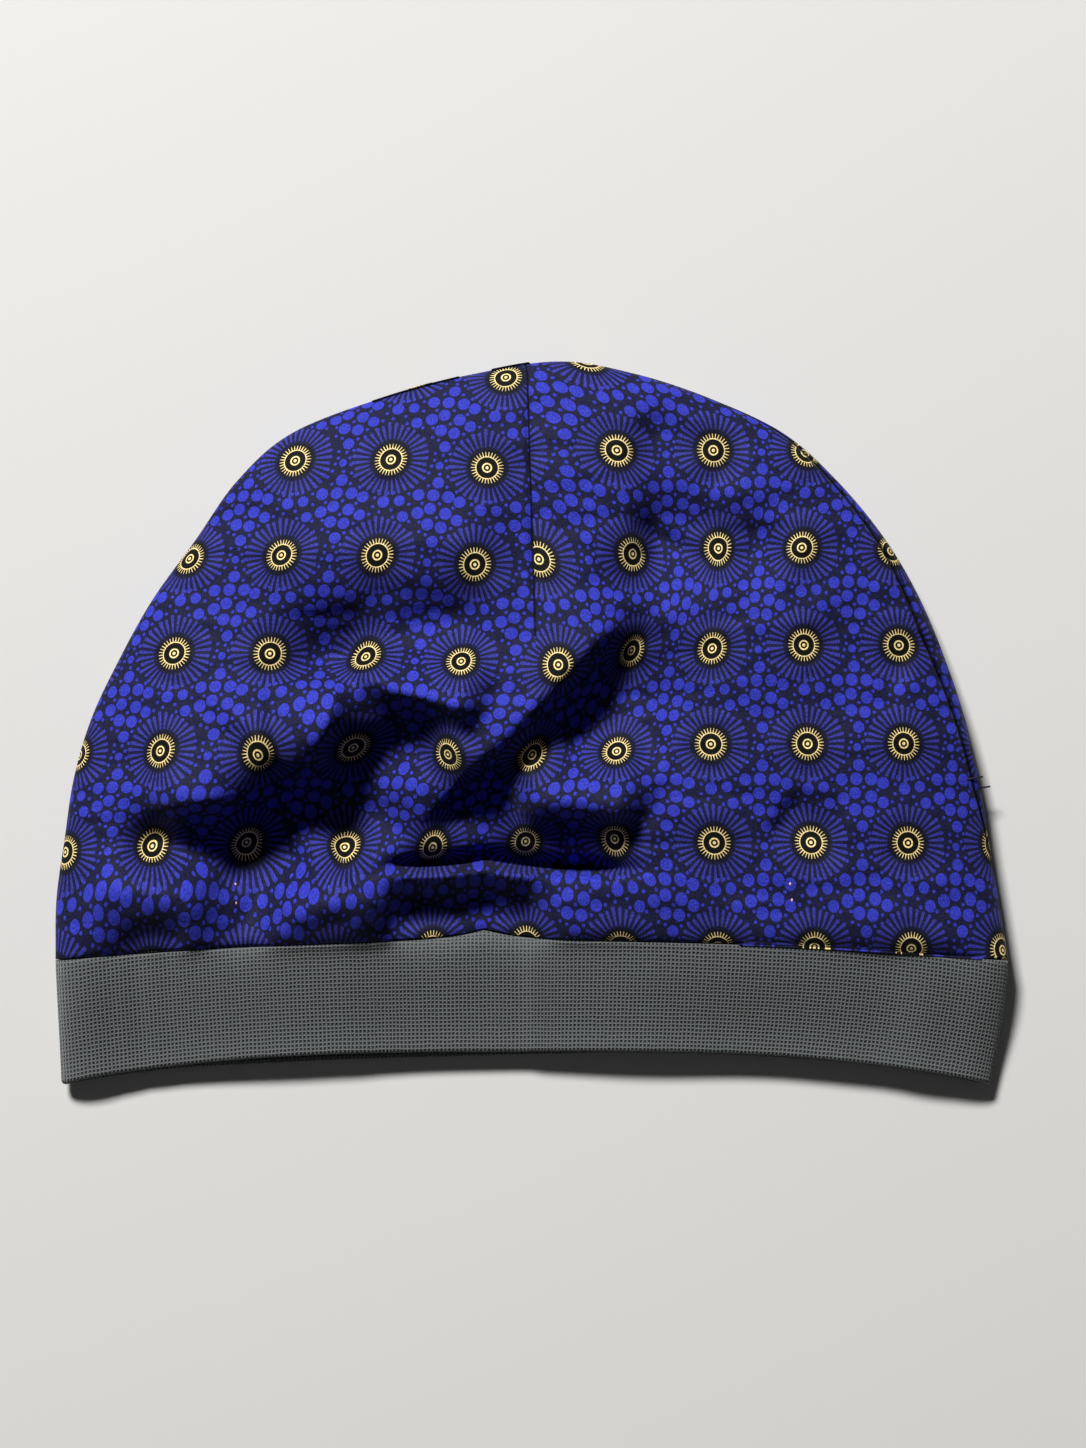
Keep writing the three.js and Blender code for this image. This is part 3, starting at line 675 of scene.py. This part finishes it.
    # The blue rays widen outwards and end round, no two quite as long as each other
    ray_count, ray_start, shortest_ray, ray_variation = 34, 5.9, 10.1, 1.1
    inner_half, widening, widest_half, ray_tip = 0.16, 0.075, 0.48, 0.5
    aside, ray_number = spokes(ray_count)
    varied = add_node(tree, "TexWhiteNoise", {"W": ray_number}, noise_dimensions="1D").outputs["Value"]
    ray_end = maths("MULTIPLY_ADD", varied, ray_variation, shortest_ray)
    half = maths("MULTIPLY_ADD", maths("SUBTRACT", radius, ray_start - 0.1), widening, inner_half)
    half = maths("MINIMUM", half, widest_half)
    beyond = maths("MAXIMUM", maths("SUBTRACT", radius, maths("SUBTRACT", ray_end, ray_tip)), 0)
    off_tip = maths("SQRT", maths("MULTIPLY_ADD", aside, aside, maths("MULTIPLY", beyond, beyond)))
    past_start = below(maths("MULTIPLY", radius, -1), -ray_start, 0.6)
    colour = paint(colour, ray_blue, maths("MULTIPLY", below(off_tip, half), past_start))

    # The black disc, its gold ring with teeth outside, and the gold ring and dot in its middle
    disc_edge, disc_blur = 5.2, 2.0
    tooth_count, tooth_tip, tooth_half, tooth_taper = 30, 4.5, 0.235, -0.035
    ring_outside, ring_inside, ring_blur = 3.24, 3.0, 0.12
    small_ring, small_ring_half, middle_dot = 1.18, 0.20, 0.44
    colour = paint(colour, black, below(radius, disc_edge, disc_blur))
    off_tooth, _ = spokes(tooth_count)
    teeth = below(off_tooth, maths("MULTIPLY_ADD", radius, tooth_taper, tooth_half), 0.08)
    teeth = maths("MULTIPLY", teeth, below(radius, tooth_tip, 0.2))
    colour = paint(colour, gold, maths("MAXIMUM", teeth, below(radius, ring_outside, ring_blur)))
    colour = paint(colour, black, below(radius, ring_inside, ring_blur))
    off_small_ring = maths("ABSOLUTE", maths("SUBTRACT", radius, small_ring))
    colour = paint(colour, gold, below(off_small_ring, small_ring_half))
    colour = paint(colour, gold, below(radius, middle_dot))
    tree.links.new(colour, result.inputs["Color"])
    return tree


crown_uv = add_node(crown_tree, "UVMap", uv_map="cloth")
sunburst = crown_tree.nodes.new("ShaderNodeGroup")
sunburst.node_tree = print_group()
crown_tree.links.new(crown_uv.outputs["UV"], sunburst.inputs["Cloth"])

# The crepe grain: fine irregular threads, lighter and darker, standing a little proud, and
# slack soft crumples, which lie slantwise
CRUMPLE = 4 * MILLIMETRE
grain_place = add_node(crown_tree, "Mapping", {"Vector": crown_uv.outputs["UV"], "Scale": (62, 50, 1)})
grain = add_node(crown_tree, "TexNoise", {"Vector": grain_place.outputs[0], "Scale": 1.0, "Detail": 4.0})
grain_shade = add_node(crown_tree, "MapRange", {0: grain.outputs[0], 1: 0.3, 2: 0.7, 3: 0.55, 4: 1.6})
grained = add_node(crown_tree, "VectorMath", {0: sunburst.outputs["Color"], 1: grain_shade.outputs[0]},
                   operation="MULTIPLY")
# Painted shade: the colour darkens to near black along the side seam and along the sewn dart. It stands in
# for the shade in the seam's gap and in the dart's crease.
at_seam = add_node(crown_tree, "Attribute", attribute_name="at_seam")
painted_seam_shade = add_node(crown_tree, "MapRange", {0: at_seam.outputs["Fac"], 1: 0.35, 2: 0.85, 3: 1.0, 4: 0.06})
grained = add_node(crown_tree, "VectorMath", {0: grained.outputs[0], 1: painted_seam_shade.outputs[0]},
                   operation="MULTIPLY")
crown_tree.links.new(grained.outputs[0], crown_shader.inputs["Base Color"])
grain_bump = add_node(crown_tree, "Bump", {"Height": grain.outputs[0], "Strength": 0.6, "Distance": 0.0003})
crumple_place = add_node(crown_tree, "Mapping", {
    "Vector": crown_uv.outputs["UV"], "Rotation": (0, 0, math.radians(35)), "Scale": (0.8, 2.0, 1)})
crumple = add_node(crown_tree, "TexNoise", {"Vector": crumple_place.outputs[0], "Scale": 1.0, "Detail": 2.0})
crumpled = add_node(crown_tree, "Bump", {
    "Height": crumple.outputs[0], "Normal": grain_bump.outputs[0], "Strength": 1.0, "Distance": CRUMPLE})
crown_tree.links.new(crumpled.outputs[0], crown_shader.inputs["Normal"])
crown_shader.inputs["Sheen Weight"].default_value = 0.05
crown_shader.inputs["Sheen Roughness"].default_value = 0.4
crown_shader.inputs["Specular IOR Level"].default_value = 0.06

front_stations = edge_stations(PANEL_COLUMNS, PANEL_ROWS)
seam_ids = np.arange(len(front_stations))
# The painted seam shade also runs along the sewn dart above its tip.
sewn_dart = dart_ids[front_points[dart_ids, 1] > DART_TIP[1] + 3 * MILLIMETRE]
crown_front = sewn_sheet("crown_front", arched(front_points), front_faces, CLOTH, front_cloth,
                         crown_material, np.concatenate([seam_ids, sewn_dart]))
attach(crown_front, "root")
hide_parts("crown_front_panel")

# The crown's back panel.
# The same printed sateen, flat on the table, with its edge curling up to the side seam.
BACK_RINGS = 14
BACK_COLUMNS = 120
BACK_ROWS = 80
back_points, back_faces, back_loop, _ = panel_grid(-1, BACK_RINGS, BACK_COLUMNS, BACK_ROWS)

# The print is matched at the side seam, and runs on from the front over the turned edge
back_stations = edge_stations(BACK_COLUMNS, BACK_ROWS)
seam_cloth = cloth_at(seam_ids, front_points[seam_ids, 0] > DART_TOP[0]) + slid[seam_ids]
seam_cloth = np.column_stack([
    np.interp(back_stations, front_stations, seam_cloth[:, axis]) for axis in (0, 1)
])
turned = back_points[: (BACK_RINGS + 1) * len(back_stations)].reshape(-1, len(back_stations), 3)
past_seam = np.cumsum(np.linalg.norm(np.diff(turned, axis=0), axis=2), axis=0)
past_seam = np.vstack([np.zeros((1, len(back_stations))), past_seam]) / REPEAT
turned_cloth = seam_cloth[None] - on_outline(back_stations)[1][None] * past_seam[..., None]
back_cloth = cloth_on_right(-back_points[:, 0], back_points[:, 1])[back_faces]
turned_faces = BACK_RINGS * (len(back_stations) - 1)
back_cloth[:turned_faces] = turned_cloth.reshape(-1, 2)[back_faces[:turned_faces]]
# The back's seam ring is marked for the same painted seam shade.
crown_back = sewn_sheet("crown_back", arched(back_points), back_faces, CLOTH, back_cloth, crown_material,
                        np.arange(len(back_stations)))
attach(crown_back, "root")
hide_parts("crown_back_panel")

# The loose thread ends.
# Two black ends of sewing thread stand out of the side seam at the right, cut short.
THREAD_RADIUS = 0.25 * MILLIMETRE
THREAD_ENDS = (
    ((121.5, -15.4, 13.2), (125.9, -14.7, 10.9)),
    ((125.0, -17.9, 8.8), (128.2, -17.5, 8.6)),
)

thread_material, _, thread_shader = new_material("black thread")
thread_shader.inputs["Base Color"].default_value = (0.006, 0.006, 0.007, 1)
thread_shader.inputs["Roughness"].default_value = 0.8
for number, (start, end) in enumerate(np.array(THREAD_ENDS) * MILLIMETRE, 1):
    bpy.ops.mesh.primitive_cylinder_add(vertices=8, radius=THREAD_RADIUS, depth=np.linalg.norm(end - start),
                                        location=(start + end) / 2)
    thread = bpy.context.object
    thread.name = f"thread_end_{number}"
    thread.rotation_euler = mathutils.Vector(end - start).to_track_quat("Z", "Y").to_euler()
    bpy.ops.object.transform_apply(location=True, rotation=True, scale=True)
    bpy.ops.object.shade_smooth()
    thread.data.materials.append(thread_material)
    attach(thread, "root")

# The lint.
# Four pale specks of fluff lie on the front, two at each side above the band.
LINT_RADIUS = 0.32 * MILLIMETRE
LINT = ((-82.9, -44.9), (-82.6, -50.0), (71.7, -44.4), (72.2, -48.9))

lint_material, _, lint_shader = new_material("pale lint")
lint_shader.inputs["Base Color"].default_value = (0.75, 0.45, 0.42, 1)
lint_shader.inputs["Roughness"].default_value = 0.9
front_laid = arched(front_points)
for number, place in enumerate(np.array(LINT) * MILLIMETRE, 1):
    under = front_laid[np.argmin(np.hypot(*(front_laid[:, :2] - place).T))]
    bpy.ops.mesh.primitive_ico_sphere_add(subdivisions=2, radius=LINT_RADIUS, location=(*place, under[2]))
    speck = bpy.context.object
    speck.name = f"lint_{number}"
    speck.scale = (1.0, 1.5, 0.6)
    bpy.ops.object.transform_apply(location=True, rotation=True, scale=True)
    bpy.ops.object.shade_smooth()
    speck.data.materials.append(lint_material)
    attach(speck, "root")

# The band.
# Grey waffle-rib knit, folded double at the hem and sewn to the crown's lower edge. It lies
# flat as a tube, the back hem showing a little below the front one.
BAND_DEPTH = 25.6 * MILLIMETRE
BAND_FLARE = 9.2 * MILLIMETRE
BACK_HEM_DROP = 2.4 * MILLIMETRE
BAND_WALL = 2.2 * MILLIMETRE
HEM_SINK = 0.62
BAND_RIPPLE = 0.8 * MILLIMETRE
RIPPLE_LENGTH = 88 * MILLIMETRE
BAND_ROWS = 30
HEM_STEPS = 8
KNIT_PITCH = 1.13 * MILLIMETRE
MOST_STEP = 2.5 * MILLIMETRE          # the stiffer knit evens out this much of the cloth's dents
STEP_REACH = 0.07                     # and does so within this share of its depth
EVENING = 32.0                        # how widely it evens them, in stations round the band
LEFT_NARROWING = 0.010
RIGHT_NARROWING = 0.036
BAND_AROUND = 420

# The crown's two loops on the band seam, made one and divided evenly
seam_loop = np.vstack([front_points[front_loop], back_points[back_loop][::-1]])
seam_loop = np.vstack([seam_loop, seam_loop[:1]])
seam_length = np.concatenate([[0], np.cumsum(np.linalg.norm(np.diff(seam_loop[:, ::2], axis=0), axis=1))])
around = np.linspace(0, seam_length[-1], BAND_AROUND, endpoint=False)
seam_x = np.interp(around, seam_length, seam_loop[:, 0])
seam_z = np.interp(around, seam_length, seam_loop[:, 2])

evening_reach = 70
smoothing = np.exp(-((np.arange(-evening_reach, evening_reach + 1) / EVENING) ** 2))
even_z = np.convolve(np.pad(seam_z, evening_reach, mode="wrap"), smoothing / smoothing.sum(), mode="valid")
even_z = np.clip(even_z - seam_z, -MOST_STEP, MOST_STEP)
even_z *= 1 - ease(0.7, 0.88, np.abs(seam_x / HALF_WIDTH))
even_z += seam_z


def band_section(share):
    """One row of the band's outer face, from the seam at 0 to the hem at 1."""
    across = seam_x / HALF_WIDTH
    front = even_z / even_z.max()
    section_z = even_z + (seam_z - even_z) * math.exp(-share / STEP_REACH)
    narrowing = np.where(across > 0, RIGHT_NARROWING * share**1.5, LEFT_NARROWING * share)
    left_middle = ease(-1, -0.5, across) * (1 - ease(-0.4, 0.3, across))
    hem = -BAND_DEPTH - BAND_FLARE * np.abs(across) ** 3
    drop = (1 - front) * BACK_HEM_DROP * (0.35 + 0.65 * left_middle)
    wave = BAND_RIPPLE * np.sin(math.tau * seam_x / RIPPLE_LENGTH)
    top = seam_lift(seam_x) - SEAM_GAP
    y = top + (hem - drop + BAND_WALL / 2 - top) * share
    level = 1 + (HEM_SINK - 1) * ease(0, 1, share)
    return np.column_stack([seam_x * (1 - narrowing), y, section_z * level + wave * front**4 * share])


def outward(row):
    """The way out of the band at each point of a row, square to it."""
    along = np.roll(row, -1, axis=0) - np.roll(row, 1, axis=0)
    normal = np.column_stack([-along[:, 2], np.zeros(len(row)), along[:, 0]])
    return normal / np.linalg.norm(normal, axis=1)[:, None]


band_rows = [band_section(k / BAND_ROWS) for k in range(BAND_ROWS + 1)]
hem_row = band_rows[-1]
hem_middle = hem_row - outward(hem_row) * BAND_WALL / 2
for step in range(1, HEM_STEPS + 1):
    turn = math.pi * step / HEM_STEPS
    rounded = hem_middle + outward(hem_row) * math.cos(turn) * BAND_WALL / 2
    rounded[:, 1] -= math.sin(turn) * BAND_WALL / 2
    band_rows.append(rounded)
for row in band_rows[BAND_ROWS - 2 :: -2]:
    band_rows.append(row - outward(row) * BAND_WALL)
band_points = np.vstack(band_rows)
band_points[:, 1] += SEAM_Y

row_count = len(band_rows)
ids = np.arange(row_count * BAND_AROUND).reshape(row_count, BAND_AROUND)
below_ids = np.roll(ids, -1, axis=0)
corner_ids = [ids, below_ids, np.roll(below_ids, -1, axis=1), np.roll(ids, -1, axis=1)]
band_faces = np.stack(corner_ids, -1).reshape(-1, 4)

band_mesh = bpy.data.meshes.new("band")
band_mesh.from_pydata(band_points.tolist(), [], band_faces.tolist())
band = bpy.data.objects.new("knit_band", band_mesh)
bpy.context.collection.objects.link(band)
band_mesh.polygons.foreach_set("use_smooth", np.ones(len(band_faces), bool))

# The knit's own places: wales counted round the band, courses up from the hem
closed_rows = np.stack(band_rows + band_rows[:1])
steps_down = np.linalg.norm(np.diff(closed_rows, axis=0), axis=2)
courses = np.vstack([np.zeros((1, BAND_AROUND)), np.cumsum(steps_down, axis=0)]) / KNIT_PITCH
courses = courses[BAND_ROWS] - courses
wales = round(seam_length[-1] / KNIT_PITCH) / BAND_AROUND
column, row = np.meshgrid(np.arange(BAND_AROUND), np.arange(row_count))
corner_places = np.stack([
    np.stack([(column + a) * wales, courses[row + b, (column + a) % BAND_AROUND]], -1)
    for a, b in ((0, 0), (0, 1), (1, 1), (1, 0))
], axis=2)
knit_layer = band_mesh.uv_layers.new(name="knit")
knit_layer.uv.foreach_set("vector", corner_places.reshape(-1).astype(np.float32))

YARN_GREY = (0.136, 0.145, 0.147)
knit_material, knit_tree, knit_shader = new_material("grey waffle knit")
knit_uv = add_node(knit_tree, "UVMap", uv_map="knit")


def knit_maths(operation, first, second=0.0, third=0.0, clamp=False):
    inputs = {0: first, 1: second, 2: third}
    return add_node(knit_tree, "Math", inputs, operation=operation, use_clamp=clamp).outputs[0]


# The rows of knit wander a little, so each place is moved by up to a quarter of a stitch
wobble = add_node(knit_tree, "TexNoise", {"Vector": knit_uv.outputs["UV"], "Scale": 0.35, "Detail": 2.0})
wobble = add_node(knit_tree, "VectorMath", {0: wobble.outputs["Color"], 1: (0.5, 0.5, 0.5)},
                  operation="SUBTRACT")
wobble = add_node(knit_tree, "VectorMath", {0: wobble.outputs[0], "Scale": 0.45}, operation="SCALE")
knit_place = add_node(knit_tree, "VectorMath", {0: knit_uv.outputs["UV"], 1: wobble.outputs[0]},
                      operation="ADD")
knit_parts = add_node(knit_tree, "SeparateXYZ", {0: knit_place.outputs[0]})
wale = knit_maths("COSINE", knit_maths("MULTIPLY", knit_parts.outputs[0], math.tau))
course = knit_maths("COSINE", knit_maths("MULTIPLY", knit_parts.outputs[1], math.tau))
yarn = knit_maths("MAXIMUM", wale, knit_maths("MULTIPLY_ADD", course, 0.9, -0.05))
yarn = knit_maths("MULTIPLY_ADD", yarn, 0.5, 0.5)
fibre = add_node(knit_tree, "TexNoise", {"Vector": knit_uv.outputs["UV"], "Scale": 3.5, "Detail": 3.0})
yarn_height = knit_maths("MULTIPLY_ADD", fibre.outputs[0], 0.25, yarn)
# Painted shade: the yarn's grey darkens in the hollows between ribs and rows, down to 0.12 of it at the
# deepest. The fibre noise adds random tone on top.
painted_hollow_shade = add_node(knit_tree, "MapRange", {0: yarn_height, 1: 0.25, 2: 1.0, 3: 0.12, 4: 1.0})
fibre_shade = add_node(knit_tree, "MapRange", {0: fibre.outputs[0], 1: 0.3, 2: 0.7, 3: 0.75, 4: 1.25})
shade = knit_maths("MULTIPLY", painted_hollow_shade.outputs[0], fibre_shade.outputs[0])
knit_colour = add_node(knit_tree, "VectorMath", {0: YARN_GREY, 1: shade}, operation="MULTIPLY")
knit_tree.links.new(knit_colour.outputs[0], knit_shader.inputs["Base Color"])
knit_bump = add_node(knit_tree, "Bump", {"Height": yarn_height, "Strength": 0.8, "Distance": 0.0006})
knit_tree.links.new(knit_bump.outputs[0], knit_shader.inputs["Normal"])
knit_shader.inputs["Roughness"].default_value = 0.9
knit_shader.inputs["Sheen Weight"].default_value = 0.2
knit_shader.inputs["Specular IOR Level"].default_value = 0.2
band_mesh.materials.append(knit_material)
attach(band, "root")
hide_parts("band")
